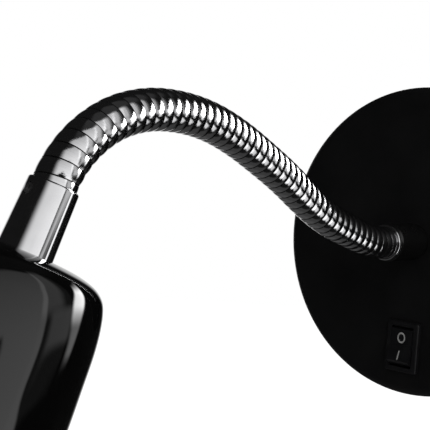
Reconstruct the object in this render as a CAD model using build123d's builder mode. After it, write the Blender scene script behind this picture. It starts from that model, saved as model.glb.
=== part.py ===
"""Bedside wall reading lamp: wall plate with a rocker switch, a chrome gooseneck and a small shade.

Millimetres, +Z up. The origin is on the wall, behind the middle of the wall plate, and the lamp
stands out from the wall towards -Y.
"""

import os
from math import cos, radians, sin, tan

from build123d import *

# ---------------------------------------------------------------- driving dimensions
# Radial clearance of a thread or a close fit, and of a hole that a screw passes through
fit_clearance = 0.05
screw_clearance = 0.2
# Half the depth of the band in which the edges of one bend are looked for
edge_search = 0.01

# Pan-head screws: shares of the head's height, and of its diameter
head_edge_share = 0.45
cross_depth_share = 0.55
cross_length_share = 0.55
cross_width_share = 0.14

# Wall plate: a pressed steel cup
plate_diameter = 100.0
plate_depth = 24.0
plate_wall = 1.2
plate_edge_radius = 3.0

# Mounting bracket: a steel strap with an ear bent up at each end
strap_width = 18.0
strap_thickness = 1.5
ear_height = 12.0
ear_gap = 0.4
ear_bend_radius = 2.5
wall_slot_spacing = 60.0
wall_slot_width = 4.5
wall_slot_length = 8.0
cable_hole_diameter = 9.0

# Cover screws, through the plate's rim into the ears
cover_screw_diameter = 4.0
cover_screw_length = 7.0
cover_screw_head_diameter = 7.0
cover_screw_head_height = 2.0
cover_screw_height = 7.5

# Terminal block and earth point on the strap
block_length = 17.0
block_width = 13.0
block_height = 13.0
block_place = 13.5
block_pole_spacing = 8.0
block_wire_hole = 3.4
block_corner = 1.0
clamp_screw_sunk = 1.0
clamp_screw_slot = 0.7
clamp_screw_diameter = 3.0
clamp_screw_length = 4.0
block_screw_diameter = 2.5
block_screw_head_diameter = 4.0
block_screw_head_height = 1.6
earth_place = -13.5
earth_screw_diameter = 4.0
earth_head_diameter = 8.0
earth_head_height = 2.2
earth_tag_diameter = 8.4
earth_tag_thickness = 0.8
earth_tag_width = 4.8
earth_tag_reach = 9.0

# Rocker switch, its middle this far inside the plate's edge, on a line that leans a little to the left
switch_margin = 15.8
switch_lean = 6.0
bezel_width = 11.6
bezel_length = 16.4
bezel_thickness = 1.6
bezel_corner = 0.8
bezel_edge = 0.5
switch_width = 9.6
switch_length = 14.4
switch_depth = 13.5
switch_clearance = 0.1
rocker_radius = 6.4
rocker_width = 7.7
rocker_gap = 0.2
rocker_rise = 1.9
rocker_pivot_depth = 1.0
rocker_throw = 20.0
rocker_blank = 12.8
trunnion_diameter = 2.0
trunnion_length = 0.6
trunnion_clearance = 0.05
tab_width = 4.8
tab_thickness = 0.8
tab_length = 6.0
tab_spacing = 7.2

# Root of the neck
nipple_diameter = 10.0
nipple_bore = 5.6
nipple_end = 7.0
hole_clearance = 0.1
collar_diameter = 11.8
collar_length = 15.5
collar_edge = 0.5
end_ring_diameter = 11.2
end_ring_thickness = 1.5
end_ring_edge = 0.45
lock_nut_size = 14.0
lock_nut_height = 3.0
washer_diameter = 16.0
washer_thickness = 0.8
washer_teeth = 12
washer_tooth_depth = 1.2

# Gooseneck: twelve short lengths of hose, each bent as the neck is bent at rest.
# Positive turns bend it down, and positive side turns bend it towards +X.
neck_diameter = 10.0
neck_groove_diameter = 9.2
neck_bore = 5.2
link_length = 12.6
link_turns = 4
link_gap = 0.93
link_end_diameter = 7.4
turn_edge = 0.35
bend_steps = 6
bore_steps = 4
down_turns = (-16.0, -1.0, -7.5, -3.5, 5.0, 2.0, 6.0, 9.0, 8.5, 14.5, 22.5, 30.0)
side_turns = (1.0, 1.0, 2.0, 1.5, 0.5, 1.0, 0.5, 0.0, -1.0, -3.0, -4.5, -6.0)
flex_diameter = 4.4
flex_gap = 0.6
flex_tail = 5.0

# Ferrule and the fittings inside it
ferrule_length = 15.2
ferrule_top_diameter = 11.3
ferrule_base_diameter = 12.2
ferrule_edge = 0.5
sleeve_diameter = 8.0
sleeve_length = 9.0
grub_diameter = 2.6
grub_length = 1.5
grub_drop = 2.9
grub_socket = 1.3
holder_nipple_length = 13.0
holder_nipple_bore = 5.6

# Shade: a spun cup with a nearly flat top, a round shoulder and a slight flare
shade_length = 76.0
shade_wall = 1.2
shade_shoulder_radius = 19.2
shade_corner_radius = 6.5
shade_crown = 6.0
shade_flare = 0.6
shade_rim_edge = 0.4

# Lamp holder: a cap on the nipple, and a shell that screws into the cap
cap_neck_radius = 7.0
cap_neck_height = 2.5
cap_radius = 11.0
cap_slope = 3.0
cap_height = 11.0
cap_floor = 7.0
cap_wall = 1.6
shell_radius = 12.0
shell_mouth_radius = 11.3
shell_end = 32.0
shell_bore = 15.2
shell_spigot = 3.4
shell_floor = 14.0
contact_width = 3.0
contact_thickness = 0.45
centre_contact_reach = 4.5
centre_contact_rise = 2.4
side_contact_length = 14.0

# Bulb: small screw cap and tubular glass
bulb_cap_diameter = 13.8
bulb_cap_length = 17.0
bulb_tip_diameter = 5.0
bulb_tip_height = 2.0
bulb_insulator_height = 2.0
glass_radius = 12.5
glass_length = 34.0
glass_neck_radius = 6.4
glass_shoulder = 9.0

# Inner leads: each core's place round the flex, in degrees, and its runs
core_diameter = 1.6
core_circle = 1.15
neutral_angle = 40.0
earth_angle = 160.0
switched_angle = 280.0
lead_bend = 1.9
lead_margin = 4.0
lead_entry = 3.0
neutral_fall = 3.3
earth_fall = 4.0
earth_loop_side = 6.0
earth_loop_reach = 14.0
earth_loop_height = 4.0
earth_approach = 3.0
switched_fall = 5.0
live_margin = 7.0
tab_approach = 8.0
tab_side = 5.5
tab_turn = 3.5

# ---------------------------------------------------------------- frames
wall = Plane(origin=(0, 0, 0), x_dir=(1, 0, 0), z_dir=(0, -1, 0))
face = wall.offset(plate_depth)
inside_face = plate_depth - plate_wall
plate_radius = plate_diameter / 2

lean = radians(switch_lean)
switch_reach = plate_radius - switch_margin
switch_front = Plane(
    origin=(-switch_reach * sin(lean), -plate_depth, -switch_reach * cos(lean)),
    x_dir=(cos(lean), 0, -sin(lean)),
    z_dir=(0, -1, 0),
)
switch_side = Plane(
    origin=switch_front.origin, x_dir=switch_front.y_dir, z_dir=switch_front.x_dir
)

neck_root = plate_depth + collar_length + end_ring_thickness + link_gap / 2


def along(start, length, down, side, distance):
    """The place at a distance along one link, which is an even bend from its start."""
    share = distance / length / bend_steps
    turn = Rot(down * share, side * share, 0)
    half = Pos(0, 0, distance / bend_steps / 2)
    place = start
    for _ in range(bend_steps):
        place = place * half * turn * half
    return place


link_starts = [Location(wall.offset(neck_root))]
for down_turn, side_turn in zip(down_turns, side_turns):
    link_starts.append(along(link_starts[-1], link_length, down_turn, side_turn, link_length))
head = Plane(link_starts[-1])
head_axis = Axis(head.origin, head.z_dir)
# A half section through the head: x runs outwards from its axis, y runs down it from the neck's end
head_section = Plane(origin=head.origin, x_dir=head.x_dir, z_dir=head.y_dir * -1)

# ---------------------------------------------------------------- output
os.makedirs("parts", exist_ok=True)


def save(part, name):
    """Label one finished piece and write its file."""
    part.label = name
    export_step(part, f"parts/{name}.step")


# ---------------------------------------------------------------- wall plate
# A half section through the plate: x runs outwards from its axis, y runs out from the wall
wall_section = Plane(origin=(0, 0, 0), x_dir=(1, 0, 0), z_dir=(0, 0, -1))
out_axis = Axis((0, 0, 0), (0, -1, 0))
cover_holes = Plane(origin=(0, -cover_screw_height, 0), x_dir=(0, 1, 0), z_dir=(1, 0, 0))
edge_start = plate_depth - plate_edge_radius
edge_middle = plate_radius - plate_edge_radius
with BuildPart() as wall_plate:
    with BuildSketch(wall_section):
        with BuildLine():
            Polyline((plate_radius - plate_wall, 0), (plate_radius, 0), (plate_radius, edge_start))
            JernArc((plate_radius, edge_start), (0, 1), plate_edge_radius, 90)
            Polyline(
                (edge_middle, plate_depth), (0, plate_depth), (0, inside_face), (edge_middle, inside_face)
            )
            JernArc((edge_middle, inside_face), (1, 0), plate_edge_radius - plate_wall, -90)
            Line((plate_radius - plate_wall, edge_start), (plate_radius - plate_wall, 0))
        make_face()
    revolve(axis=out_axis)
    with BuildSketch(face):
        Circle(nipple_diameter / 2 + hole_clearance)
    extrude(amount=-plate_wall, mode=Mode.SUBTRACT)
    with BuildSketch(switch_front):
        Rectangle(switch_width + 2 * switch_clearance, switch_length + 2 * switch_clearance)
    extrude(amount=-plate_wall, mode=Mode.SUBTRACT)
    with BuildSketch(cover_holes):
        Circle(cover_screw_diameter / 2 + screw_clearance)
    extrude(amount=plate_radius, both=True, mode=Mode.SUBTRACT)
save(wall_plate.part, "wall_plate")

# ---------------------------------------------------------------- mounting bracket
# A folded strap: the foot lies on the wall, and the ears stand just inside the plate's rim
ear_outside = plate_radius - plate_wall - ear_gap
ear_chord = (ear_outside**2 - (strap_width / 2) ** 2) ** 0.5
with BuildPart() as mounting_bracket:
    with BuildSketch(wall_section):
        with BuildLine():
            Polyline(
                (-ear_chord, ear_height),
                (-ear_chord, 0),
                (ear_chord, 0),
                (ear_chord, ear_height),
                (ear_chord - strap_thickness, ear_height),
                (ear_chord - strap_thickness, strap_thickness),
                (strap_thickness - ear_chord, strap_thickness),
                (strap_thickness - ear_chord, ear_height),
                close=True,
            )
        make_face()
    extrude(amount=strap_width / 2, both=True)
    for height in (0, strap_thickness):
        for end in (0, -1):
            bends = mounting_bracket.edges().filter_by(Axis.Z).filter_by_position(
                Axis.Y, -height - edge_search, -height + edge_search
            )
            fillet(bends.sort_by(Axis.X)[end], ear_bend_radius - height)
    with BuildSketch(wall):
        with Locations((-wall_slot_spacing / 2, 0), (wall_slot_spacing / 2, 0)):
            SlotOverall(wall_slot_length, wall_slot_width)
        Circle(cable_hole_diameter / 2)
        with Locations((earth_place, 0)):
            Circle(earth_screw_diameter / 2 + fit_clearance)
        with Locations((block_place, 0)):
            Circle(block_screw_diameter / 2 + fit_clearance)
    extrude(amount=strap_thickness, mode=Mode.SUBTRACT)
    with BuildSketch(cover_holes):
        Circle(cover_screw_diameter / 2 + fit_clearance)
    extrude(amount=ear_chord, both=True, mode=Mode.SUBTRACT)
save(mounting_bracket.part, "mounting_bracket")


# ---------------------------------------------------------------- screws
def pan_screw(place, diameter, length, head_diameter, head_height):
    """A pan-head screw: its head stands on the place, and its shank goes down from it."""
    with BuildPart() as screw:
        with BuildSketch(place):
            Circle(head_diameter / 2)
        extrude(amount=head_height)
        top = screw.faces().sort_by(Axis(place.origin, place.z_dir))[-1]
        fillet(top.edges(), head_height * head_edge_share)
        with BuildSketch(place):
            Circle(diameter / 2)
        extrude(amount=-length)
        with BuildSketch(place.offset(head_height)):
            Rectangle(head_diameter * cross_length_share, head_diameter * cross_width_share)
            Rectangle(head_diameter * cross_width_share, head_diameter * cross_length_share)
        extrude(amount=-head_height * cross_depth_share, mode=Mode.SUBTRACT)
    return screw.part


def rim_place(side):
    """Where a cover screw's head sits, on the +X or -X side of the plate's rim."""
    middle = (side * plate_radius, -cover_screw_height, 0)
    return Plane(origin=middle, x_dir=(0, 1, 0), z_dir=(side, 0, 0))


cover_screws = [
    pan_screw(
        rim_place(side),
        cover_screw_diameter,
        cover_screw_length,
        cover_screw_head_diameter,
        cover_screw_head_height,
    )
    for side in (-1, 1)
]
save(Compound(children=cover_screws), "cover_screws")

# ---------------------------------------------------------------- terminal block
# A two-pole block that stands on the strap, with its wire holes along Z and one screw down its middle
block_foot = Plane(origin=(block_place, -strap_thickness, 0), x_dir=(1, 0, 0), z_dir=(0, -1, 0))
block_top = block_foot.offset(block_height)
block_poles = (-block_pole_spacing / 2, block_pole_spacing / 2)
wire_line = Plane(
    origin=(block_place, -strap_thickness - block_height / 2, 0), x_dir=(1, 0, 0), z_dir=(0, 0, 1)
)
with BuildPart() as terminal_block:
    with BuildSketch(block_foot):
        Rectangle(block_length, block_width)
    extrude(amount=block_height)
    chamfer(terminal_block.edges().filter_by(Axis.Y), block_corner)
    with BuildSketch(block_top):
        for pole in block_poles:
            with Locations((pole, 0)):
                Circle(clamp_screw_diameter / 2 + fit_clearance)
    extrude(amount=-block_height / 2, mode=Mode.SUBTRACT)
    with BuildSketch(wire_line):
        for pole in block_poles:
            with Locations((pole, 0)):
                Circle(block_wire_hole / 2)
    extrude(amount=block_width, both=True, mode=Mode.SUBTRACT)
    with BuildSketch(block_top):
        Circle(block_screw_diameter / 2 + screw_clearance)
    extrude(amount=-block_height, mode=Mode.SUBTRACT)
save(terminal_block.part, "terminal_block")
block_screw = pan_screw(
    block_top,
    block_screw_diameter,
    block_height + strap_thickness,
    block_screw_head_diameter,
    block_screw_head_height,
)
save(block_screw, "block_screw")

with BuildPart() as clamp_screws:
    with BuildSketch(block_top.offset(-clamp_screw_sunk)):
        for pole in block_poles:
            with Locations((pole, 0)):
                Circle(clamp_screw_diameter / 2)
    extrude(amount=-clamp_screw_length)
    with BuildSketch(block_top.offset(-clamp_screw_sunk)):
        for pole in block_poles:
            with Locations((pole, 0)):
                Rectangle(clamp_screw_diameter, clamp_screw_slot)
    extrude(amount=-clamp_screw_slot, mode=Mode.SUBTRACT)
save(clamp_screws.part, "clamp_screws")

# ---------------------------------------------------------------- earth point
earth_foot = Plane(origin=(earth_place, -strap_thickness, 0), x_dir=(1, 0, 0), z_dir=(0, -1, 0))
with BuildPart() as earth_tag:
    with BuildSketch(earth_foot):
        Circle(earth_tag_diameter / 2)
        with Locations((0, earth_tag_reach / 2)):
            Rectangle(earth_tag_width, earth_tag_reach)
        Circle(earth_screw_diameter / 2 + screw_clearance, mode=Mode.SUBTRACT)
    extrude(amount=earth_tag_thickness)
save(earth_tag.part, "earth_tag")
earth_screw = pan_screw(
    earth_foot.offset(earth_tag_thickness),
    earth_screw_diameter,
    earth_tag_thickness + strap_thickness,
    earth_head_diameter,
    earth_head_height,
)
save(earth_screw, "earth_screw")

# ---------------------------------------------------------------- rocker switch
# In the side sketches x runs up the switch and y runs out of it
well_radius = rocker_radius + rocker_gap
well_width = rocker_width + 2 * rocker_gap
with BuildPart() as switch_body:
    with BuildSketch(switch_front):
        RectangleRounded(bezel_width, bezel_length, bezel_corner)
    extrude(amount=bezel_thickness)
    bezel_rim = switch_body.faces().sort_by(Axis.Y)[0]
    fillet(bezel_rim.edges(), bezel_edge)
    with BuildSketch(switch_front):
        Rectangle(switch_width, switch_length)
    extrude(amount=-switch_depth)
    with BuildSketch(switch_front.offset(bezel_thickness)):
        Rectangle(well_width, 2 * well_radius)
    extrude(amount=-bezel_thickness - rocker_pivot_depth, mode=Mode.SUBTRACT)
    with BuildSketch(switch_side):
        with Locations((0, -rocker_pivot_depth)):
            Circle(well_radius)
    extrude(amount=well_width / 2, both=True, mode=Mode.SUBTRACT)
    with BuildSketch(switch_side):
        with Locations((0, -rocker_pivot_depth)):
            Circle(trunnion_diameter / 2 + trunnion_clearance)
    extrude(amount=switch_width, both=True, mode=Mode.SUBTRACT)
save(switch_body.part, "switch_body")

# Off at rest: the upper half lies flat, and the lower half stands up by the throw
half_throw = radians(rocker_throw / 2)
valley_reach = rocker_rise + rocker_pivot_depth
valley = (valley_reach * tan(half_throw), rocker_rise)
with BuildPart() as rocker:
    with BuildSketch(switch_side):
        with Locations((0, -rocker_pivot_depth)):
            Circle(rocker_radius)
        with BuildLine():
            Polyline(
                (rocker_blank, -rocker_blank),
                (rocker_blank, rocker_rise),
                valley,
                (-rocker_blank, rocker_rise + (rocker_blank + valley[0]) * tan(2 * half_throw)),
                (-rocker_blank, -rocker_blank),
                close=True,
            )
        make_face(mode=Mode.INTERSECT)
    extrude(amount=rocker_width / 2, both=True)
    with BuildSketch(switch_side):
        with Locations((0, -rocker_pivot_depth)):
            Circle(trunnion_diameter / 2)
    extrude(amount=rocker_width / 2 + rocker_gap + trunnion_length, both=True)
save(rocker.part, "rocker")

tab_root = switch_front.offset(-switch_depth)
with BuildPart() as switch_tabs:
    with BuildSketch(tab_root):
        with Locations((0, -tab_spacing / 2), (0, tab_spacing / 2)):
            Rectangle(tab_width, tab_thickness)
    extrude(amount=-tab_length)
save(switch_tabs.part, "switch_tabs")

# ---------------------------------------------------------------- root of the neck
collar_end = plate_depth + collar_length
ring_end = collar_end + end_ring_thickness
with BuildPart() as root_nipple:
    with BuildSketch(wall.offset(inside_face - nipple_end)):
        Circle(nipple_diameter / 2)
    extrude(amount=nipple_end + plate_wall + collar_length)
    with BuildSketch(wall.offset(collar_end)):
        Circle(end_ring_diameter / 2)
    extrude(amount=end_ring_thickness)
    ring_rims = root_nipple.edges().filter_by(GeomType.CIRCLE).sort_by(SortBy.RADIUS)[-2:]
    fillet(ring_rims, end_ring_edge)
    with BuildSketch(wall.offset(ring_end)):
        Circle(nipple_bore / 2)
    extrude(amount=-(nipple_end + plate_wall + collar_length + end_ring_thickness), mode=Mode.SUBTRACT)
save(root_nipple.part, "root_nipple")

with BuildPart() as collar:
    with BuildSketch(face):
        Circle(collar_diameter / 2)
        Circle(nipple_diameter / 2 + fit_clearance, mode=Mode.SUBTRACT)
    extrude(amount=collar_length)
    rims = collar.edges().filter_by(GeomType.CIRCLE).group_by(SortBy.RADIUS)[-1]
    chamfer(rims, collar_edge)
save(collar.part, "collar")

with BuildPart() as lock_washer:
    with BuildSketch(wall.offset(inside_face)):
        Circle(washer_diameter / 2)
        Circle(nipple_diameter / 2 + fit_clearance, mode=Mode.SUBTRACT)
        with PolarLocations(washer_diameter / 2, washer_teeth):
            Rectangle(2 * washer_tooth_depth, washer_tooth_depth, mode=Mode.SUBTRACT)
    extrude(amount=-washer_thickness)
save(lock_washer.part, "lock_washer")

with BuildPart() as lock_nut:
    with BuildSketch(wall.offset(inside_face - washer_thickness)):
        RegularPolygon(lock_nut_size / 2, 6, major_radius=False)
        Circle(nipple_diameter / 2 + fit_clearance, mode=Mode.SUBTRACT)
    extrude(amount=-lock_nut_height)
save(lock_nut.part, "lock_nut")


# ---------------------------------------------------------------- gooseneck
def link_stations(last):
    """Distances and radii along one link: a groove, then a band for each turn."""
    start = link_gap / 2
    end = link_length if last else link_length - link_gap / 2
    turn = (end - start) / link_turns
    stations = [(start, link_end_diameter / 2)]
    for index in range(link_turns):
        low = start + index * turn
        stations.append((low + turn_edge, neck_diameter / 2))
        stations.append((low + turn - turn_edge, neck_diameter / 2))
        stations.append((low + turn, neck_groove_diameter / 2))
    if not last:
        stations[-1] = (end, link_end_diameter / 2)
    return stations


def hose(number, stations):
    """The outside of one link, as a ruled loft through its circles."""
    start, down, side = link_starts[number], down_turns[number], side_turns[number]
    with BuildPart() as body:
        for distance, radius in stations:
            with BuildSketch(Plane(along(start, link_length, down, side, distance))):
                Circle(radius)
        loft(ruled=True)
    return body.part


links = len(down_turns)
for number in range(links):
    last = number == links - 1
    name = f"{number + 1:02d}"
    stations = link_stations(last)
    first_end, last_end = stations[0][0], stations[-1][0]
    bore = [
        (first_end + (last_end - first_end) * step / bore_steps, neck_bore / 2)
        for step in range(bore_steps + 1)
    ]
    flex_start = flex_gap / 2
    flex_stop = link_length if last else link_length - flex_gap / 2
    flex = [
        (flex_start + (flex_stop - flex_start) * step / bore_steps, flex_diameter / 2)
        for step in range(bore_steps + 1)
    ]
    save(hose(number, stations) - hose(number, bore), f"neck_link_{name}")
    save(hose(number, flex), f"neck_flex_{name}")

# The flex in the root nipple, from behind the lock nut to the neck
flex_end = inside_face - nipple_end - flex_tail
with BuildPart() as root_flex:
    with BuildSketch(wall.offset(flex_end)):
        Circle(flex_diameter / 2)
    extrude(amount=neck_root - flex_gap / 2 - flex_end)
save(root_flex.part, "root_flex")

# ---------------------------------------------------------------- ferrule
sleeve_seat = sleeve_diameter / 2 + fit_clearance
crown_slope = tan(radians(shade_crown))
holder_seat = ferrule_length + shade_wall + fit_clearance + (cap_neck_radius - sleeve_seat) * crown_slope
grub_place = Plane(
    origin=(head * Pos(0, 0, grub_drop)).position, x_dir=head.x_dir, z_dir=head.y_dir
)
with BuildPart() as ferrule:
    with BuildSketch(head_section):
        Polygon(
            (sleeve_seat, 0),
            (ferrule_top_diameter / 2, 0),
            (ferrule_base_diameter / 2, ferrule_length),
            (sleeve_seat, ferrule_length),
            align=None,
        )
    revolve(axis=head_axis)
    top_rim = ferrule.faces().sort_by(head_axis)[0].edges().sort_by(SortBy.RADIUS)[-1]
    fillet(top_rim, ferrule_edge)
    with BuildSketch(grub_place):
        Circle(grub_diameter / 2 + fit_clearance)
    extrude(amount=ferrule_base_diameter, mode=Mode.SUBTRACT)
save(ferrule.part, "ferrule")

with BuildPart() as grub_screw:
    with BuildSketch(grub_place.offset(sleeve_diameter / 2)):
        Circle(grub_diameter / 2)
    extrude(amount=grub_length)
    with BuildSketch(grub_place.offset(sleeve_diameter / 2 + grub_length)):
        RegularPolygon(grub_socket / 2, 6, major_radius=False)
    extrude(amount=-grub_length / 2, mode=Mode.SUBTRACT)
save(grub_screw.part, "grub_screw")


def head_tube(start, length, outer, inner):
    """A plain tube on the head's axis; an inner diameter of zero makes it solid."""
    with BuildPart() as tube:
        with BuildSketch(head.offset(start)):
            Circle(outer / 2)
            if inner:
                Circle(inner / 2, mode=Mode.SUBTRACT)
        extrude(amount=length)
    return tube.part


nipple_start = holder_seat + cap_floor - holder_nipple_length
save(head_tube(0, sleeve_length, sleeve_diameter, neck_bore), "neck_sleeve")
save(
    head_tube(nipple_start, holder_nipple_length, sleeve_diameter, holder_nipple_bore),
    "holder_nipple",
)
save(head_tube(0, holder_seat + cap_floor, flex_diameter, 0), "head_flex")

# ---------------------------------------------------------------- shade
crown_fall = (shade_shoulder_radius - sleeve_seat) * crown_slope
mouth_radius = shade_shoulder_radius + (shade_length - crown_fall) * tan(radians(shade_flare))
with BuildPart() as shade:
    with BuildSketch(head_section):
        with BuildLine():
            outside = FilletPolyline(
                (sleeve_seat, ferrule_length),
                (shade_shoulder_radius, ferrule_length + crown_fall),
                (mouth_radius, ferrule_length + shade_length),
                radius=shade_corner_radius,
            )
            inside = FilletPolyline(
                (sleeve_seat, ferrule_length + shade_wall),
                (shade_shoulder_radius - shade_wall, ferrule_length + crown_fall + shade_wall),
                (mouth_radius - shade_wall, ferrule_length + shade_length),
                radius=shade_corner_radius - shade_wall,
            )
            Line(outside @ 0, inside @ 0)
            Line(outside @ 1, inside @ 1)
        make_face()
    revolve(axis=head_axis)
    mouth = shade.faces().sort_by(head_axis)[-1]
    fillet(mouth.edges(), shade_rim_edge)
save(shade.part, "shade")

# ---------------------------------------------------------------- lamp holder
spigot_radius = cap_radius - cap_wall - fit_clearance
with BuildPart() as holder_cap:
    with BuildSketch(head_section):
        with Locations((0, holder_seat)):
            Polygon(
                (sleeve_seat, 0),
                (cap_neck_radius, 0),
                (cap_neck_radius, cap_neck_height),
                (cap_radius, cap_neck_height + cap_slope),
                (cap_radius, cap_height),
                (cap_radius - cap_wall, cap_height),
                (cap_radius - cap_wall, cap_floor),
                (sleeve_seat, cap_floor),
                align=None,
            )
    revolve(axis=head_axis)
save(holder_cap.part, "holder_cap")

with BuildPart() as holder_shell:
    with BuildSketch(head_section):
        with Locations((0, holder_seat)):
            Polygon(
                (flex_diameter / 2, cap_height - shell_spigot),
                (spigot_radius, cap_height - shell_spigot),
                (spigot_radius, cap_height),
                (shell_radius, cap_height),
                (shell_mouth_radius, shell_end),
                (shell_bore / 2, shell_end),
                (shell_bore / 2, shell_floor),
                (flex_diameter / 2, shell_floor),
                align=None,
            )
    revolve(axis=head_axis)
save(holder_shell.part, "holder_shell")

# A sprung centre contact on the shell's floor, and a side contact along its bore
floor_level = holder_seat + shell_floor
tip_level = floor_level + centre_contact_rise
side_inside = bulb_cap_diameter / 2 + fit_clearance
with BuildPart() as holder_contacts:
    with BuildSketch(head_section):
        Polygon(
            (-centre_contact_reach, floor_level),
            (-centre_contact_reach + contact_width, floor_level),
            (contact_width / 2, tip_level - contact_thickness),
            (contact_width / 2, tip_level),
            (-contact_width / 2, tip_level),
            (-centre_contact_reach, floor_level + contact_thickness),
            align=None,
        )
    extrude(amount=contact_width / 2, both=True)
    with BuildSketch(head_section):
        Polygon(
            (side_inside, floor_level),
            (side_inside + contact_thickness, floor_level),
            (side_inside + contact_thickness, floor_level + side_contact_length),
            (side_inside, floor_level + side_contact_length),
            align=None,
        )
    extrude(amount=contact_width / 2, both=True)
save(holder_contacts.part, "holder_contacts")

# ---------------------------------------------------------------- bulb
cap_tip = tip_level
cap_rim = cap_tip + bulb_cap_length
with BuildPart() as bulb_cap:
    with BuildSketch(head_section):
        with Locations((0, cap_tip)):
            Polygon(
                (0, 0),
                (bulb_tip_diameter / 2, 0),
                (bulb_tip_diameter / 2, bulb_tip_height / 2),
                (bulb_cap_diameter / 2, bulb_tip_height + bulb_insulator_height),
                (bulb_cap_diameter / 2, bulb_cap_length),
                (0, bulb_cap_length),
                align=None,
            )
    revolve(axis=head_axis)
save(bulb_cap.part, "bulb_cap")

dome_start = cap_rim + glass_length - glass_radius
with BuildPart() as bulb_glass:
    with BuildSketch(head_section):
        with BuildLine():
            Line((0, cap_rim), (glass_neck_radius, cap_rim))
            Spline(
                (glass_neck_radius, cap_rim),
                (glass_radius, cap_rim + glass_shoulder),
                tangents=((0, 1), (0, 1)),
            )
            Line((glass_radius, cap_rim + glass_shoulder), (glass_radius, dome_start))
            CenterArc((0, dome_start), glass_radius, 0, 90)
            Line((0, dome_start + glass_radius), (0, cap_rim))
        make_face()
    revolve(axis=head_axis)
save(bulb_glass.part, "bulb_glass")

# ---------------------------------------------------------------- inner leads
def lead(name, *route):
    """One insulated core: straight runs joined by bends, as x, z and height above the wall."""
    points = [wall.from_local_coords(point) for point in route]
    with BuildPart() as core:
        with BuildLine():
            path = FilletPolyline(*points, radius=lead_bend)
        with BuildSketch(Plane(origin=path @ 0, z_dir=path % 0)):
            Circle(core_diameter / 2)
        sweep(path=path)
    save(core.part, name)


def core_at(angle):
    """Where one core leaves the flex's inner end."""
    return (core_circle * cos(radians(angle)), core_circle * sin(radians(angle)), flex_end)


def dropped(point, fall):
    """The same point, nearer to the wall."""
    return (point[0], point[1], point[2] - fall)


hole_height = strap_thickness + block_height / 2
near_pole = block_place - block_pole_spacing / 2
far_pole = block_place + block_pole_spacing / 2
lead_side = block_width / 2 + lead_margin
lead_depth = block_width / 2 - lead_entry
neutral = core_at(neutral_angle)
lead(
    "lead_neutral",
    neutral,
    dropped(neutral, neutral_fall),
    (near_pole, lead_side, hole_height),
    (near_pole, lead_depth, hole_height),
)

# Two cores end on the outer faces of the switch's tabs, at their middle height
tab_level = -switch_depth - tab_length / 2
tab_face = tab_spacing / 2 + tab_thickness / 2


def by_tab(across, along_switch):
    """A lead's point at the tabs' middle height, placed across and along the switch."""
    return wall.to_local_coords(switch_front.from_local_coords((across, along_switch, tab_level)))


lead(
    "lead_live",
    (far_pole, -lead_depth, hole_height),
    (far_pole, -block_width / 2 - live_margin, hole_height),
    by_tab(0, tab_face + tab_approach),
    by_tab(0, tab_face),
)
switched = core_at(switched_angle)
lead(
    "lead_switched",
    switched,
    dropped(switched, switched_fall),
    by_tab(-tab_side, tab_face),
    by_tab(-tab_side, -tab_face - tab_turn),
    by_tab(0, -tab_face - tab_turn),
    by_tab(0, -tab_face),
)
earth = core_at(earth_angle)
tag_middle = strap_thickness + earth_tag_thickness / 2
lead(
    "lead_earth",
    earth,
    dropped(earth, earth_fall),
    (earth_place + earth_loop_side, earth_loop_reach, earth_loop_height),
    (earth_place, earth_tag_reach + earth_approach, tag_middle),
    (earth_place, earth_tag_reach, tag_middle),
)
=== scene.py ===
"""Bedside wall reading lamp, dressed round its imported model: black plate and rocker switch, chrome
gooseneck and gloss black shade, on plain white.

Shapes are worked out in millimetres and put into the meshes in metres. +Z is up, the wall is the
plane Y = 0, and the lamp stands out from it towards -Y.
"""

import bmesh
import bpy
import numpy as np
from mathutils import Matrix, Vector


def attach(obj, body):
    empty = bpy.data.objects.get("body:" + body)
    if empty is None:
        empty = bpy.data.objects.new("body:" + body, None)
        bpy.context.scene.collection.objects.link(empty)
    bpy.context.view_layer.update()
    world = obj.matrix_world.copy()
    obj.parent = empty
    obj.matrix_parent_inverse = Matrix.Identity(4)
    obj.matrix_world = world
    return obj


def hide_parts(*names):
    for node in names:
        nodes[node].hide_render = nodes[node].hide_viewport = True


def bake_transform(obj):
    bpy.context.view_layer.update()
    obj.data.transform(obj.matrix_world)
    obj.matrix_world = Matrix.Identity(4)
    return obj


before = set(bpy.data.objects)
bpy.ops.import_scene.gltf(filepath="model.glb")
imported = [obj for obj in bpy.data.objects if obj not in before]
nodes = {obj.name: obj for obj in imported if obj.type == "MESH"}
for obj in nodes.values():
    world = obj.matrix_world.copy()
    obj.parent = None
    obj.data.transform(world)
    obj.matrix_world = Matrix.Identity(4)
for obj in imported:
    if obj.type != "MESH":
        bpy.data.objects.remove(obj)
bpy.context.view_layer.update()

# ---------------------------------------------------------------- camera
# It stands in front of the wall, level with the neck's root and to the right, and looks past the
# shade at the plate. It was fitted to the plate's outline in the photograph.
metre = 1000
camera_place = Vector((178.395, -319.431, 5.534))
camera_right = Vector((0.745663, 0.666319, -0.002314))
camera_up = Vector((0.008123, -0.005617, 0.999951))
camera_back = camera_right.cross(camera_up)
frame_pixels = 430
focal_pixels = 1050.63

lens = bpy.data.cameras.new("camera")
camera = bpy.data.objects.new("camera", lens)
bpy.context.scene.collection.objects.link(camera)
lens.sensor_width = 36.0
lens.lens = lens.sensor_width * focal_pixels / frame_pixels
lens.clip_start = 0.02
lens.clip_end = 50.0
camera_turn = Matrix((camera_right, camera_up, camera_back)).transposed().to_4x4()
camera.matrix_world = Matrix.Translation(camera_place / metre) @ camera_turn
bpy.context.scene.camera = camera

# ---------------------------------------------------------------- studio
# A dark room with a tall soft panel at the camera's right shoulder, a bright strip light further round
# to the right and a white sweep behind the lamp. All of it is painted on the world by direction, so
# that the panels have soft edges. Camera rays see plain white wherever they leave.
world = bpy.data.worlds.new("studio")
bpy.context.scene.world = world
world.use_nodes = True
world_nodes = world.node_tree.nodes
world_links = world.node_tree.links


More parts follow.
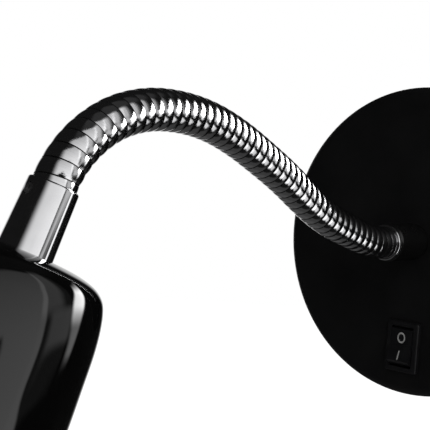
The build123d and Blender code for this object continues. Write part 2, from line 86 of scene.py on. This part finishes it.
def reckon(operation, *values):
    """A maths node over sockets and plain numbers."""
    node = world_nodes.new("ShaderNodeMath")
    node.operation = operation
    for socket, value in zip(node.inputs, values):
        if isinstance(value, bpy.types.NodeSocket):
            world_links.new(value, socket)
        else:
            socket.default_value = value
    return node.outputs["Value"]


def ramp(angle, start, end):
    """0 on the start's side and 1 on the end's side of an angle in degrees, with an S curve between."""
    node = world_nodes.new("ShaderNodeMapRange")
    node.interpolation_type = "SMOOTHSTEP"
    node.inputs["From Min"].default_value = start
    node.inputs["From Max"].default_value = end
    world_links.new(angle, node.inputs["Value"])
    return node.outputs["Result"]


def band(angle, starts, full, fades, ends):
    """1 from the full to the fading angle and 0 outside the start and the end, all in degrees."""
    return reckon("MULTIPLY", ramp(angle, starts, full), ramp(angle, ends, fades))


def part_of(radiance, *edges):
    """A patch of the room: its radiance times the ramps and bands that bound it."""
    patch = edges[0]
    for edge in edges[1:]:
        patch = reckon("MULTIPLY", patch, edge)
    return reckon("MULTIPLY", patch, radiance)


def together(*patches):
    """The sum of patches."""
    total = patches[0]
    for patch in patches[1:]:
        total = reckon("ADD", total, patch)
    return total


# The azimuth runs from the side that faces the camera towards the camera's right, and round the back
# of the lamp it is counted on up to a full circle
full_circle = 360
sky = world_nodes.new("ShaderNodeTexCoord").outputs["Generated"]
flat_parts = []
for direction in (camera_back, camera_right):
    share = world_nodes.new("ShaderNodeVectorMath")
    share.operation = "DOT_PRODUCT"
    world_links.new(sky, share.inputs[0])
    share.inputs[1].default_value = Vector((direction.x, direction.y, 0)).normalized()
    flat_parts.append(share.outputs["Value"])
upright = world_nodes.new("ShaderNodeSeparateXYZ")
world_links.new(sky, upright.inputs["Vector"])
azimuth = reckon("DEGREES", reckon("ARCTAN2", flat_parts[1], flat_parts[0]))
elevation = reckon("DEGREES", reckon("ARCSINE", upright.outputs["Z"]))
round_back = reckon("MODULO", reckon("ADD", azimuth, full_circle), full_circle)

# The soft panel brightens downwards and its foot spreads to the right. The dark shape of the camera's
# stand bites out its lower left corner. Past its right edge the room is dim, then comes the strip.
panel_radiance = 1.12
panel_fall = 0.011
foot_spread = 16
foot = reckon("SUBTRACT", azimuth, reckon("MULTIPLY", ramp(elevation, -15, -32), foot_spread))
stand = part_of(
    1, ramp(azimuth, 44, 41), ramp(reckon("ADD", azimuth, elevation), 29, 26), ramp(elevation, 4, 1.5)
)
soft_panel = part_of(
    reckon("SUBTRACT", panel_radiance, reckon("MULTIPLY", elevation, panel_fall)),
    ramp(azimuth, -24, 6), ramp(foot, 66, 63), band(elevation, -62, -54, 44, 50),
    reckon("SUBTRACT", 1.0, stand),
)
dim_gap = part_of(0.085, band(azimuth, 57, 61, 93, 98), band(elevation, -23, -20, 40, 50))
wing = part_of(0.6, band(azimuth, 57, 61, 78, 90), band(elevation, -4, 6, 44, 56))
halo = part_of(0.6, band(azimuth, 67, 74, 92, 100), band(elevation, -18, -13, -3, 4))
low_card = part_of(1.0, band(azimuth, 70, 76, 110, 118), band(elevation, -54, -48, -33, -30))
ceiling = part_of(0.03, band(azimuth, -10, 20, 120, 150), ramp(elevation, 40, 55))
sweep = part_of(0.9, band(round_back, 166, 178, 210, 226), band(elevation, -22, -8, 12, 25))
low_sweep = part_of(0.03, band(round_back, 160, 178, 210, 226), band(elevation, -68, -55, -20, -8))
glow_below = part_of(0.05, ramp(round_back, 122, 136), ramp(elevation, -22, -34))
room = together(soft_panel, dim_gap, wing, low_card, halo, sweep, low_sweep, glow_below, ceiling)

# The strip leans round to the back as it rises, by the square of its rise over the place where the
# lean begins. It widens upwards, and its foot is dimmer than its head.
strip_lean = 0.016
lean_begins = -12
strip_widening = 6
strip_foot_share = 0.12
risen = reckon("MAXIMUM", reckon("SUBTRACT", elevation, lean_begins), 0)
leaning = reckon("SUBTRACT", azimuth, reckon("MULTIPLY", reckon("MULTIPLY", risen, risen), strip_lean))
widening = reckon("MULTIPLY", ramp(elevation, -24, 2), strip_widening)
strip = part_of(
    1, ramp(reckon("ADD", leaning, widening), 98, 104), ramp(reckon("SUBTRACT", leaning, widening), 110, 105),
    band(elevation, -22.5, -19, 17, 31),
    reckon("ADD", strip_foot_share, reckon("MULTIPLY", ramp(elevation, -12, 2), 1 - strip_foot_share)),
)

# Mirror reflections see the strip at its full radiance in a nearly black room. Matt surfaces see a
# weaker strip in a grey room, which keeps their colours near what is written.
strip_on_gloss = 14.0
strip_on_matt = 2.0
walls_on_gloss = 0.01
walls_on_matt = 0.3
on_gloss = together(room, reckon("MULTIPLY", strip, strip_on_gloss), walls_on_gloss)
on_matt = together(room, reckon("MULTIPLY", strip, strip_on_matt), walls_on_matt)

ray = world_nodes.new("ShaderNodeLightPath").outputs
plain = reckon("MAXIMUM", ray["Is Camera Ray"], ray["Is Transmission Ray"])
glossy = reckon("MULTIPLY", ray["Is Glossy Ray"], reckon("SUBTRACT", on_gloss, on_matt))
lit = together(on_matt, glossy)
strength = together(lit, reckon("MULTIPLY", plain, reckon("SUBTRACT", 1.0, lit)))
background = world_nodes["Background"]
background.inputs["Color"].default_value = (1, 1, 1, 1)
world_links.new(strength, background.inputs["Strength"])
bpy.context.scene.view_settings.view_transform = "Standard"

# ---------------------------------------------------------------- floor
# A pale matt floor well below the lamp. Camera rays see it lifted to near white, and it keeps the
# lamp's soft shadow. Mirror reflections pass through it to the painted room, as does a look from below.
floor_drop = 0.42
floor_reach = 4.0
floor_rough = 0.9
floor_tints = (0.78, 0.84)
floor_speckle = 30
floor_lift = 1.42
lift_share = 0.7
sheet = bpy.data.meshes.new("floor")
sides = [(-1, -1), (1, -1), (1, 1), (-1, 1)]
sheet.from_pydata([(x * floor_reach, y * floor_reach, -floor_drop) for x, y in sides], [], [(0, 1, 2, 3)])
floor = bpy.data.objects.new("floor", sheet)
bpy.context.scene.collection.objects.link(floor)
pale = bpy.data.materials.new("pale_floor")
pale.use_nodes = True
sheet.materials.append(pale)
pale_nodes, pale_links = pale.node_tree.nodes, pale.node_tree.links
matt = pale_nodes["Principled BSDF"]
matt.inputs["Roughness"].default_value = floor_rough
speckle = pale_nodes.new("ShaderNodeTexNoise")
speckle.inputs["Scale"].default_value = floor_speckle
soft = pale_nodes.new("ShaderNodeMapRange")
soft.inputs["To Min"].default_value, soft.inputs["To Max"].default_value = floor_tints
lift = pale_nodes.new("ShaderNodeEmission")
lift.inputs["Strength"].default_value = floor_lift
seen_by = pale_nodes.new("ShaderNodeLightPath").outputs
from_below = pale_nodes.new("ShaderNodeNewGeometry").outputs["Backfacing"]
clear = pale_nodes.new("ShaderNodeBsdfTransparent")
lifted = pale_nodes.new("ShaderNodeMixShader")
lifted_share = pale_nodes.new("ShaderNodeMath")
lifted_share.operation = "MULTIPLY"
lifted_share.inputs[1].default_value = lift_share
through = pale_nodes.new("ShaderNodeMath")
through.operation = "MAXIMUM"
gone = pale_nodes.new("ShaderNodeMixShader")
for source, socket in (
    (speckle.outputs["Fac"], soft.inputs["Value"]),
    (soft.outputs["Result"], matt.inputs["Base Color"]),
    (seen_by["Is Camera Ray"], lifted_share.inputs[0]),
    (lifted_share.outputs["Value"], lifted.inputs["Fac"]),
    (matt.outputs["BSDF"], lifted.inputs[1]),
    (lift.outputs["Emission"], lifted.inputs[2]),
    (seen_by["Is Glossy Ray"], through.inputs[0]),
    (from_below, through.inputs[1]),
    (through.outputs["Value"], gone.inputs["Fac"]),
    (lifted.outputs["Shader"], gone.inputs[1]),
    (clear.outputs["BSDF"], gone.inputs[2]),
    (gone.outputs["Shader"], pale_nodes["Material Output"].inputs["Surface"]),
):
    pale_links.new(source, socket)


# ---------------------------------------------------------------- wall plate
# A pressed steel cup with a rounded front edge, coated in satin black powder, which leaves a fine
# pebbled skin. The CAD node keeps its shape and takes the coat.
grain_detail = 4
grain_edges = (0.3, 0.7)
relief_detail = 2
polish_scale = 2.3


def node_group(name, inputs, outputs):
    """An empty group of shader nodes with these inputs and outputs, each a name and a kind."""
    group = bpy.data.node_groups.new(name, "ShaderNodeTree")
    for socket, kind in inputs:
        group.interface.new_socket(socket, in_out="INPUT", socket_type="NodeSocket" + kind)
    for socket, kind in outputs:
        group.interface.new_socket(socket, in_out="OUTPUT", socket_type="NodeSocket" + kind)
    return group, group.nodes.new("NodeGroupInput"), group.nodes.new("NodeGroupOutput")


# Grain: a noise whose middle values are spread from a low to a high value
grain, grain_in, grain_out = node_group(
    "grain", [("Place", "Vector"), ("Scale", "Float"), ("Low", "Float"), ("High", "Float")],
    [("Value", "Float")],
)
noise = grain.nodes.new("ShaderNodeTexNoise")
noise.inputs["Detail"].default_value = grain_detail
spread = grain.nodes.new("ShaderNodeMapRange")
spread.inputs["From Min"].default_value, spread.inputs["From Max"].default_value = grain_edges
grain.links.new(grain_in.outputs["Place"], noise.inputs["Vector"])
grain.links.new(grain_in.outputs["Scale"], noise.inputs["Scale"])
grain.links.new(noise.outputs["Fac"], spread.inputs["Value"])
grain.links.new(grain_in.outputs["Low"], spread.inputs["To Min"])
grain.links.new(grain_in.outputs["High"], spread.inputs["To Max"])
grain.links.new(spread.outputs["Result"], grain_out.inputs["Value"])

# Relief: a noise that bends the normal as bumps of its depth would
relief, relief_in, relief_out = node_group(
    "relief", [("Place", "Vector"), ("Scale", "Float"), ("Depth", "Float")], [("Normal", "Vector")]
)
skin_noise = relief.nodes.new("ShaderNodeTexNoise")
skin_noise.inputs["Detail"].default_value = relief_detail
bump = relief.nodes.new("ShaderNodeBump")
relief.links.new(relief_in.outputs["Place"], skin_noise.inputs["Vector"])
relief.links.new(relief_in.outputs["Scale"], skin_noise.inputs["Scale"])
relief.links.new(skin_noise.outputs["Fac"], bump.inputs["Height"])
relief.links.new(relief_in.outputs["Depth"], bump.inputs["Distance"])
relief.links.new(bump.outputs["Normal"], relief_out.inputs["Normal"])


def finish(
    name, colours, rough, scale, relief_scale=2000.0, relief_depth=0.0, place="Object", draw=None, **constants
):
    """A material: two near colours and two roughnesses that a grain runs between, and a fine relief.

    Scales count waves in a metre, or in one unit of the piece's own UV map, and the relief's depth is in
    metres. Draw scales the grain along each direction, which draws it out into streaks. Constants go
    straight on to the shader's own sockets.
    """
    material = bpy.data.materials.new(name)
    material.use_nodes = True
    tree = material.node_tree
    shader = tree.nodes["Principled BSDF"]
    for socket, value in constants.items():
        shader.inputs[socket.replace("_", " ")].default_value = value
    spot = tree.nodes.new("ShaderNodeTexCoord").outputs[place]
    if draw:
        drawn = tree.nodes.new("ShaderNodeMapping")
        drawn.inputs["Scale"].default_value = draw
        tree.links.new(spot, drawn.inputs["Vector"])
        spot = drawn.outputs["Vector"]
    tint = tree.nodes.new("ShaderNodeGroup")
    tint.node_tree = grain
    tint.inputs["Scale"].default_value = scale
    tint.inputs["Low"].default_value = 0
    tint.inputs["High"].default_value = 1
    mix = tree.nodes.new("ShaderNodeMix")
    mix.data_type = "RGBA"
    mix.inputs["A"].default_value = (*colours[0], 1)
    mix.inputs["B"].default_value = (*colours[1], 1)
    polish = tree.nodes.new("ShaderNodeGroup")
    polish.node_tree = grain
    polish.inputs["Scale"].default_value = scale * polish_scale
    polish.inputs["Low"].default_value = rough[0]
    polish.inputs["High"].default_value = rough[1]
    for node in (tint, polish):
        tree.links.new(spot, node.inputs["Place"])
    tree.links.new(tint.outputs["Value"], mix.inputs["Factor"])
    tree.links.new(mix.outputs["Result"], shader.inputs["Base Color"])
    tree.links.new(polish.outputs["Value"], shader.inputs["Roughness"])
    if relief_depth:
        texture = tree.nodes.new("ShaderNodeGroup")
        texture.node_tree = relief
        texture.inputs["Scale"].default_value = relief_scale
        texture.inputs["Depth"].default_value = relief_depth
        tree.links.new(spot, texture.inputs["Place"])
        tree.links.new(texture.outputs["Normal"], shader.inputs["Normal"])
    return material


def dress(material, *names):
    """Gives CAD nodes their material."""
    for name in names:
        nodes[name].data.materials.clear()
        nodes[name].data.materials.append(material)


powder = finish(
    "satin_black_powder", [(0.004, 0.004, 0.0045), (0.007, 0.007, 0.0075)], (0.42, 0.55), 60,
    relief_scale=2500, relief_depth=0.00002,
)
dress(powder, "wall_plate")

# ---------------------------------------------------------------- bracket, screws and earth point
# A folded strap of zinc-plated steel and the screws on it. The zinc is bluish, soft in its shine and a
# little cloudy. The cover screws that show on the plate's rim are nickel, and the small tabs are brass.
zinc = finish(
    "zinc_plate", [(0.42, 0.43, 0.45), (0.56, 0.57, 0.58)], (0.28, 0.42), 180,
    relief_scale=900, relief_depth=0.00001, Metallic=1.0,
)
dress(zinc, "mounting_bracket", "clamp_screws", "block_screw", "earth_screw", "lock_washer", "neck_sleeve")
nickel = finish("nickel_plate", [(0.42, 0.41, 0.39), (0.5, 0.49, 0.47)], (0.18, 0.26), 200, Metallic=1.0)
dress(nickel, "cover_screws")
brass = finish("plain_brass", [(0.5, 0.34, 0.12), (0.62, 0.43, 0.17)], (0.25, 0.4), 150, Metallic=1.0)
dress(brass, "earth_tag", "switch_tabs", "lock_nut", "holder_contacts", "holder_nipple")

# ---------------------------------------------------------------- terminal block and inner leads
# A moulded nylon block and PVC cores, all inside the plate: brown for live, blue for neutral and a
# cloudy green and yellow for earth. The flex in the neck has a black sheath.
nylon = finish("natural_nylon", [(0.68, 0.66, 0.58), (0.76, 0.74, 0.67)], (0.4, 0.5), 120, relief_depth=0.00001)
dress(nylon, "terminal_block")
core_colours = {
    "lead_live": [(0.16, 0.06, 0.02), (0.2, 0.08, 0.03)],
    "lead_switched": [(0.16, 0.06, 0.02), (0.2, 0.08, 0.03)],
    "lead_neutral": [(0.02, 0.08, 0.4), (0.03, 0.11, 0.48)],
    "lead_earth": [(0.08, 0.3, 0.04), (0.5, 0.45, 0.03)],
}
for core, colours in core_colours.items():
    dress(finish("pvc_" + core, colours, (0.35, 0.45), 90, relief_depth=0.000005), core)
sheath = finish(
    "black_sheath", [(0.012, 0.012, 0.012), (0.02, 0.02, 0.02)], (0.5, 0.6), 150, relief_depth=0.00001
)
dress(sheath, "root_flex", "head_flex", *[name for name in nodes if name.startswith("neck_flex")])

# ---------------------------------------------------------------- rocker switch
# Black nylon: the body and its bezel have a fine moulded grain, and the rocker is smoother. A ring
# above and a bar below are printed on the rocker in a worn pale ink, and ride with it.
moulded = finish(
    "moulded_nylon", [(0.006, 0.006, 0.007), (0.01, 0.01, 0.011)], (0.35, 0.48), 300,
    relief_scale=4000, relief_depth=0.00001,
)
dress(moulded, "switch_body")
smooth_nylon = finish(
    "smooth_nylon", [(0.006, 0.006, 0.007), (0.009, 0.009, 0.01)], (0.28, 0.36), 250,
    relief_scale=3000, relief_depth=0.000005,
)
dress(smooth_nylon, "rocker")
pale_print = finish(
    "pale_print", [(0.3, 0.3, 0.295), (0.4, 0.4, 0.39)], (0.5, 0.65), 900, relief_depth=0.000004
)

switch_lean = np.radians(6.0)
switch_reach = 34.2
switch_level = 24.0
rocker_rise = 1.9
rocker_pivot_depth = 1.0
rocker_throw = np.radians(20.0)
print_height = 0.04
print_width = 0.45
ring_radius = 1.22
ring_stretch = 1.22
ring_place = 3.0
bar_length = 2.9
bar_place = -2.6
outline_points = 48
weld_distance = 1e-7


def quads(rows, columns, wrap_rows=False):
    """Four corner numbers, and the same corners' rows and columns, for each cell of a grid of points.

    The points are numbered row by row. The last column joins the first, and with wrap_rows the last
    row joins the first too.
    """
    i, j = np.meshgrid(np.arange(rows - (not wrap_rows)), np.arange(columns), indexing="ij")
    i, j = i.ravel(), j.ravel()
    ni, nj = (i + 1) % rows, (j + 1) % columns
    faces = np.stack((i * columns + j, ni * columns + j, ni * columns + nj, i * columns + nj), -1)
    corners = np.stack((i, j, i + 1, j, i + 1, j + 1, i, j + 1), -1).reshape(-1, 2)
    return faces, corners


def mesh_piece(name, points, faces, body, material, uv=None, sharp=40, second=None, on_second=None):
    """A mesh of points in millimetres, merged, with its faces turned outwards, that rides on a body.

    Edges sharper than the sharp angle, in degrees, stay sharp. A second material goes on the faces that
    on_second marks with a 1.
    """
    mesh = bpy.data.meshes.new(name)
    mesh.from_pydata((points.reshape(-1, 3) / metre).tolist(), [], faces)
    if uv is not None:
        layer = mesh.uv_layers.new(name="UVMap")
        layer.data.foreach_set("uv", uv.astype(np.float32).ravel())
    if second:
        mesh.polygons.foreach_set("material_index", on_second.astype(np.int32))
    shell = bmesh.new()
    shell.from_mesh(mesh)
    bmesh.ops.remove_doubles(shell, verts=shell.verts, dist=weld_distance)
    bmesh.ops.recalc_face_normals(shell, faces=shell.faces)
    shell.to_mesh(mesh)
    shell.free()
    mesh.shade_smooth()
    mesh.set_sharp_from_angle(angle=np.radians(sharp))
    mesh.materials.append(material)
    if second:
        mesh.materials.append(second)
    piece = bpy.data.objects.new(name, mesh)
    bpy.context.scene.collection.objects.link(piece)
    if body:
        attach(piece, body)
    return piece


def on_rocker(across, along, raised):
    """Places on the rocker's face: across the switch, up it, and raised off the face.

    Above the valley the face stands level at the rocker's rise, and below it leans out by the throw.
    """
    valley = (rocker_rise + rocker_pivot_depth) * np.tan(rocker_throw / 2)
    out = rocker_rise + np.maximum(valley - along, 0) * np.tan(rocker_throw) + raised
    side = np.array((np.cos(switch_lean), 0, -np.sin(switch_lean)))
    up = np.array((np.sin(switch_lean), 0, np.cos(switch_lean)))
    start = np.array((0, -switch_level, 0)) - switch_reach * up
    return start + across[..., None] * side + along[..., None] * up - out[..., None] * np.array((0, 1, 0))


# The ring: a flat section carried round an oval. The bar: a round-ended slot, closed on its middle line
angles = np.linspace(0, 2 * np.pi, outline_points, endpoint=False)[:, None]
section_out = np.array((-0.5, 0.5, 0.5, -0.5))[None] * print_width
section_up = np.array((-1, -1, 1, 1))[None] * print_height
ring_across = (ring_radius + section_out) * np.cos(angles)
ring_along = (ring_radius + section_out) * np.sin(angles) * ring_stretch + ring_place
bar_out = np.array((0, 1, 1, 0))[None] * print_width / 2
bar_across = bar_out * np.cos(angles)
bar_along = bar_out * np.sin(angles) + np.sign(np.sin(angles)) * (bar_length - print_width) / 2 + bar_place
for name, across, along in (("mark_off", ring_across, ring_along), ("mark_on", bar_across, bar_along)):
    raised = np.broadcast_to(section_up, across.shape)
    faces, _ = quads(outline_points, section_up.size, wrap_rows=True)
    mark = mesh_piece(name, on_rocker(across, along, raised), faces.tolist(), "rocker", pale_print)

# ---------------------------------------------------------------- root of the neck and ferrule
# A gloss black collar between the plate and the chromed end ring of the neck's root, and at the other
# end the chromed ferrule with its small dark steel grub screw, whose grey is lifted as a painted
# highlight for the light it catches.
chrome = finish("chrome_plate", [(0.6, 0.6, 0.61), (0.68, 0.68, 0.69)], (0.05, 0.12), 120, Metallic=1.0)
dress(chrome, "root_nipple", "ferrule")
gloss = finish(
    "gloss_black_paint", [(0.004, 0.004, 0.004), (0.006, 0.006, 0.006)], (0.2, 0.28), 80,
    relief_scale=700, relief_depth=0.000006,
)
dress(gloss, "collar")
# Painted highlight: the grub screw's grey is lighter than its dark steel would be, for the light it catches.
blackened_and_painted_highlight = finish("blackened_steel_painted_highlight", [(0.3, 0.3, 0.305), (0.4, 0.4, 0.405)], (0.5, 0.65), 300, Metallic=1.0)
dress(blackened_and_painted_highlight, "grub_screw")

# ---------------------------------------------------------------- gooseneck
# Two steel wires wound into each other: a chromed, wedge-shaped outer wire whose rounded backs are the
# rings that show, and a round inner wire that holds them apart, seen where a bend opens the gaps. The
# wires run through all twelve lengths of the neck, which bend as they do in the CAD at rest.
neck_root = 41.465
link_length = 12.6
links = 12
turns_a_link = 4
pitch = link_length / turns_a_link
bend_steps = 6
down_turns = (-16.0, -1.0, -7.5, -3.5, 5.0, 2.0, 6.0, 9.0, 8.5, 14.5, 22.5, 30.0)
side_turns = (1.0, 1.0, 2.0, 1.5, 0.5, 1.0, 0.5, 0.0, -1.0, -3.0, -4.5, -6.0)


def turned_by(down, side):
    """A turn about x by the first angle and then about the new y by the second, in degrees."""
    return np.array(Matrix.Rotation(np.radians(down), 4, "X") @ Matrix.Rotation(np.radians(side), 4, "Y"))


# A place is a 4 by 4 matrix: its x, y and z directions, then its origin. The neck starts from the wall
# unit's end ring and goes straight out, and its last place is the head's
place = np.array(((1.0, 0, 0, 0), (0, 0, -1.0, -neck_root), (0, 1.0, 0, 0), (0, 0, 0, 1.0)))
stations = [place]
station_gap = link_length / bend_steps
half_step = np.array(Matrix.Translation((0, 0, station_gap / 2)))
for down, side in zip(down_turns, side_turns):
    for _ in range(bend_steps):
        place = place @ half_step @ turned_by(down / bend_steps, side / bend_steps) @ half_step
        stations.append(place)
stations = np.array(stations)
neck_length = links * link_length
head = stations[-1]


def neck_place(distance):
    """Centre, x and y directions and curvature of the neck at distances from its root.

    Between two stations the centre runs on a cubic with their directions as its end slopes, and the
    directions are mixed in proportion and squared up again.
    """
    index = np.clip(np.floor(distance / station_gap).astype(int), 0, len(stations) - 2)
    t = (distance / station_gap - index)[..., None]
    here, ahead = stations[index], stations[index + 1]
    z0, z1 = here[..., :3, 2], ahead[..., :3, 2]
    centre = (
        (2 * t**3 - 3 * t**2 + 1) * here[..., :3, 3]
        + (t**3 - 2 * t**2 + t) * z0 * station_gap
        + (3 * t**2 - 2 * t**3) * ahead[..., :3, 3]
        + (t**3 - t**2) * z1 * station_gap
    )
    z = z0 * (1 - t) + z1 * t
    z /= np.linalg.norm(z, axis=-1, keepdims=True)
    x = here[..., :3, 0] * (1 - t) + ahead[..., :3, 0] * t
    x -= (x * z).sum(-1, keepdims=True) * z
    x /= np.linalg.norm(x, axis=-1, keepdims=True)
    return centre, x, np.cross(z, x), (z1 - z0) / station_gap


wire_span = (-0.9, neck_length + 0.5)
samples_a_turn = 48
outer_radius = 5.0
back_points = 17
back_slope = 0.05
crown = 0.15
side_drop = 0.7
root_radius = 3.9
root_share = 0.35
gap_at_root = 0.5
gap_at_head = 0.2
gap_closes = (95.0, 135.0)
gap_opening = 0.25
inner_radius = 0.9
inner_centre = 3.52
inner_points = 12


def outer_section():
    """The outer wire's section, as (across, radius): a crowned, sloping back and a wedge inwards.

    From -1 at the root's side to 1 at the head's, the back goes down by its slope times half the place
    across it, and by its crown times that place squared. Its highest point touches the neck's radius.
    """
    across = np.linspace(-1, 1, back_points)
    back = -back_slope * across / 2 - crown * across**2
    back += outer_radius - back.max()
    side = outer_radius - side_drop
    wedge = ((1.0, side), (root_share, root_radius), (-root_share, root_radius), (-1.0, side))
    return np.concatenate((np.stack((across, back), -1), wedge))


def inner_section():
    """The inner wire's section, as (across, radius), with across in shares of the wire's radius."""
    angle = np.linspace(0, 2 * np.pi, inner_points, endpoint=False)
    return np.stack((np.cos(angle), inner_centre + inner_radius * np.sin(angle)), -1)


def wound(section, half_width, first, last, shift):
    """A wire wound round the neck from turn first to turn last, as a grid of turns by section points.

    A point of the section at (across, radius) lies at the angle of its turn and at its radius from the
    neck's centre there, and across times half a width further along the neck's direction there: drawn
    wire is straight across its width. The width is twice the half width given, or where that is None,
    what the pitch leaves beside a gap, which is closer near the head and opens on the outside of a
    bend. Past the neck's ends the wire is cut off flat.
    """
    turn = np.linspace(first, last, int(round((last - first) * samples_a_turn)) + 1)[:, None]
    across, radius = section[:, 0][None], section[:, 1][None]
    middle = turn * pitch + shift
    angle = turn * 2 * np.pi
    held = np.clip(middle, *wire_span)
    centre, x, y, bend = neck_place(held[:, 0])
    outward = x * np.cos(angle) + y * np.sin(angle)
    stretch = 1 - outer_radius * (bend * outward).sum(-1)[:, None]
    if half_width is None:
        closed = np.clip((held - gap_closes[0]) / (gap_closes[1] - gap_closes[0]), 0, 1)
        opened = gap_at_root + (gap_at_head - gap_at_root) * closed**2 * (3 - 2 * closed)
        opened = opened + gap_opening * pitch * np.maximum(stretch - 1, 0)
        half_width = (pitch * stretch - opened) / 2
    start, end = (wire_span[0] - held) * stretch, (wire_span[1] - held) * stretch
    along = np.clip((middle - held) * stretch + across * half_width, start, end)
    forward = np.cross(x, y)
    return centre[:, None] + radius[..., None] * outward[:, None] + along[..., None] * forward[:, None]


def wire_piece(name, section, half_width, first, last, shift, material, flanks=None):
    """One stretch of a wound wire, closed at both ends, with its flanks in a second material."""
    grid = wound(section, half_width, first, last, shift)
    rows, columns = grid.shape[:2]
    faces, corners = quads(rows, columns)
    start = list(range(columns))
    faces = [*faces.tolist(), start, [number + (rows - 1) * columns for number in reversed(start)]]
    uv = np.concatenate((corners / (samples_a_turn, columns), np.zeros((2 * columns, 2))))
    on_flank = np.tile(np.arange(columns) >= back_points - 1, rows - 1)
    on_flank = np.concatenate((on_flank, (True, True)))
    return mesh_piece(name, grid, faces, None, material, uv=uv, second=flanks, on_second=on_flank)


drawn_chrome = finish(
    "drawn_chrome", [(0.58, 0.58, 0.59), (0.68, 0.68, 0.69)], (0.04, 0.1), 1, relief_scale=1,
    relief_depth=0.00001, place="UV", draw=(4, 40, 1), Metallic=1.0,
)
# Painted shade: the outer wire's flanks and the whole inner wire are near black, so the gaps between the rings
# read dark where shade falls in them.
gap_shade_paint = finish("painted_gap_shade", [(0.012, 0.012, 0.012), (0.025, 0.025, 0.026)], (0.5, 0.7), 400)

# A stretch of each wire reaches from the middle of one length to the middle of the next, over the hinge
# between them, and stays where it is built. The last stretch rides on the head
blend_reach = 5.0
root_reach = 4.5
spare_turns = 0.5
for number in range(links + 1):
    first = (number - 0.5) * turns_a_link if number else wire_span[0] / pitch - spare_turns
    last = (number + 0.5) * turns_a_link if number < links else wire_span[1] / pitch + spare_turns
    outer = wire_piece(
        f"outer_wire_{number + 1:02d}", outer_section(), None, first, last, 0, drawn_chrome, flanks=gap_shade_paint
    )
    # The inner wire wears the same near-black painted shade as the flanks.
    inner = wire_piece(
        f"inner_wire_{number + 1:02d}", inner_section(), inner_radius, first, last, pitch / 2, gap_shade_paint
    )
    hinge = number * link_length
    reach = (hinge - blend_reach, hinge + blend_reach) if number else (0, root_reach)
    ends = neck_place(np.array(reach))[0] / metre
    for wire in (outer, inner):
        if number < links:
            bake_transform(wire)
        else:
            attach(wire, "head")
    if number:
        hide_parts(f"neck_link_{number:02d}")

# ---------------------------------------------------------------- shade
# A spun steel cup with a nearly flat crown, a long round shoulder and a gently bellied side, lacquered
# deep gloss black outside and white inside. The ferrule clamps it to the lamp holder's nipple. Its
# outline as far down as the picture shows it was measured there, and the rest is guessed.
shade_places = np.array((
    (4.05, 15.21), (8.0, 15.22), (11.0, 15.45), (13.6, 15.9), (15.9, 16.6), (17.6, 17.6), (18.9, 19.0),
    (19.75, 20.9), (20.4, 23.3), (20.95, 26.3), (21.38, 30.2), (21.75, 36.5), (22.2, 44.9), (22.55, 57.0),
    (22.25, 69.0), (21.35, 80.0), (20.3, 88.5), (20.05, 90.3),
))
shade_wall = 1.2
span_steps = 8
rim_steps = 6
steps_round = 128
shade_sharp = 50


def smooth(places, steps):
    """A curve through places: on each span a cubic whose end slopes join the places on either side."""
    padded = np.concatenate((2 * places[:1] - places[1:2], places, 2 * places[-1:] - places[-2:-1]))[:, None]
    before, start, end, after = padded[:-3], padded[1:-2], padded[2:-1], padded[3:]
    t = np.linspace(0, 1, steps, endpoint=False)[None, :, None]
    curve = 0.5 * (
        2 * start + (end - before) * t + (2 * before - 5 * start + 4 * end - after) * t**2
        + (3 * start - before - 3 * end + after) * t**3
    )
    return np.concatenate((curve.reshape(-1, 2), places[-1:]))


def turned(name, profile, material, second, on_second):
    """A closed profile, as (radius, distance down the head), turned about the head's axis."""
    angle = np.linspace(0, 2 * np.pi, steps_round, endpoint=False)[:, None, None]
    radius, down = profile[None, :, :1], profile[None, :, 1:]
    x, y, z, centre = head[:3].T
    points = centre + radius * (x * np.cos(angle) + y * np.sin(angle)) + down * z
    faces, corners = quads(steps_round, len(profile), wrap_rows=True)
    return mesh_piece(
        name, points, faces.tolist(), "head", material, uv=corners / (steps_round, len(profile)),
        sharp=shade_sharp, second=second, on_second=np.tile(on_second, steps_round),
    )


# The profile goes down the outside, round the rim in a half circle and back up the inside. The inside
# is the outside moved inwards by the wall, square to it
outside = smooth(shade_places, span_steps)
forward = np.gradient(outside, axis=0)
forward /= np.linalg.norm(forward, axis=1, keepdims=True)
inward = np.stack((-forward[:, 1], forward[:, 0]), -1)
inside = outside + inward * shade_wall
half_turn = np.linspace(0, np.pi, rim_steps + 2)[1:-1, None]
rim_middle = (outside[-1] + inside[-1]) / 2
rim = rim_middle + shade_wall / 2 * (forward[-1] * np.sin(half_turn) - inward[-1] * np.cos(half_turn))
cup = np.concatenate((outside, rim, inside[::-1]))
white_inside = np.arange(len(cup)) >= len(outside) + rim_steps - 1
lacquer = finish(
    "gloss_black_lacquer", [(0.0015, 0.0015, 0.0015), (0.0025, 0.0025, 0.0025)], (0.02, 0.05), 40,
    relief_scale=250, relief_depth=0.000003,
)
white_coat = finish(
    "white_enamel", [(0.78, 0.78, 0.77), (0.82, 0.82, 0.81)], (0.35, 0.45), 60,
    relief_scale=400, relief_depth=0.00001,
)
shade = turned("shade_cup", cup, lacquer, white_coat, white_inside)
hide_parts("shade")

# ---------------------------------------------------------------- lamp holder
# A cap on the nipple and a shell screwed into it, both moulded in black phenolic with a dull shine.
# Their brass contacts and nipple took their material with the earth tag.
phenolic = finish("black_phenolic", [(0.012, 0.012, 0.012), (0.02, 0.02, 0.02)], (0.25, 0.35), 200)
dress(phenolic, "holder_cap", "holder_shell")

# ---------------------------------------------------------------- bulb
# A small tubular bulb, white frosted so that a little light still passes, on a nickel-plated cap.
dress(nickel, "bulb_cap")
frosted = finish(
    "frosted_glass", [(0.85, 0.85, 0.84), (0.9, 0.9, 0.89)], (0.3, 0.4), 200, Transmission_Weight=0.3
)
dress(frosted, "bulb_glass")
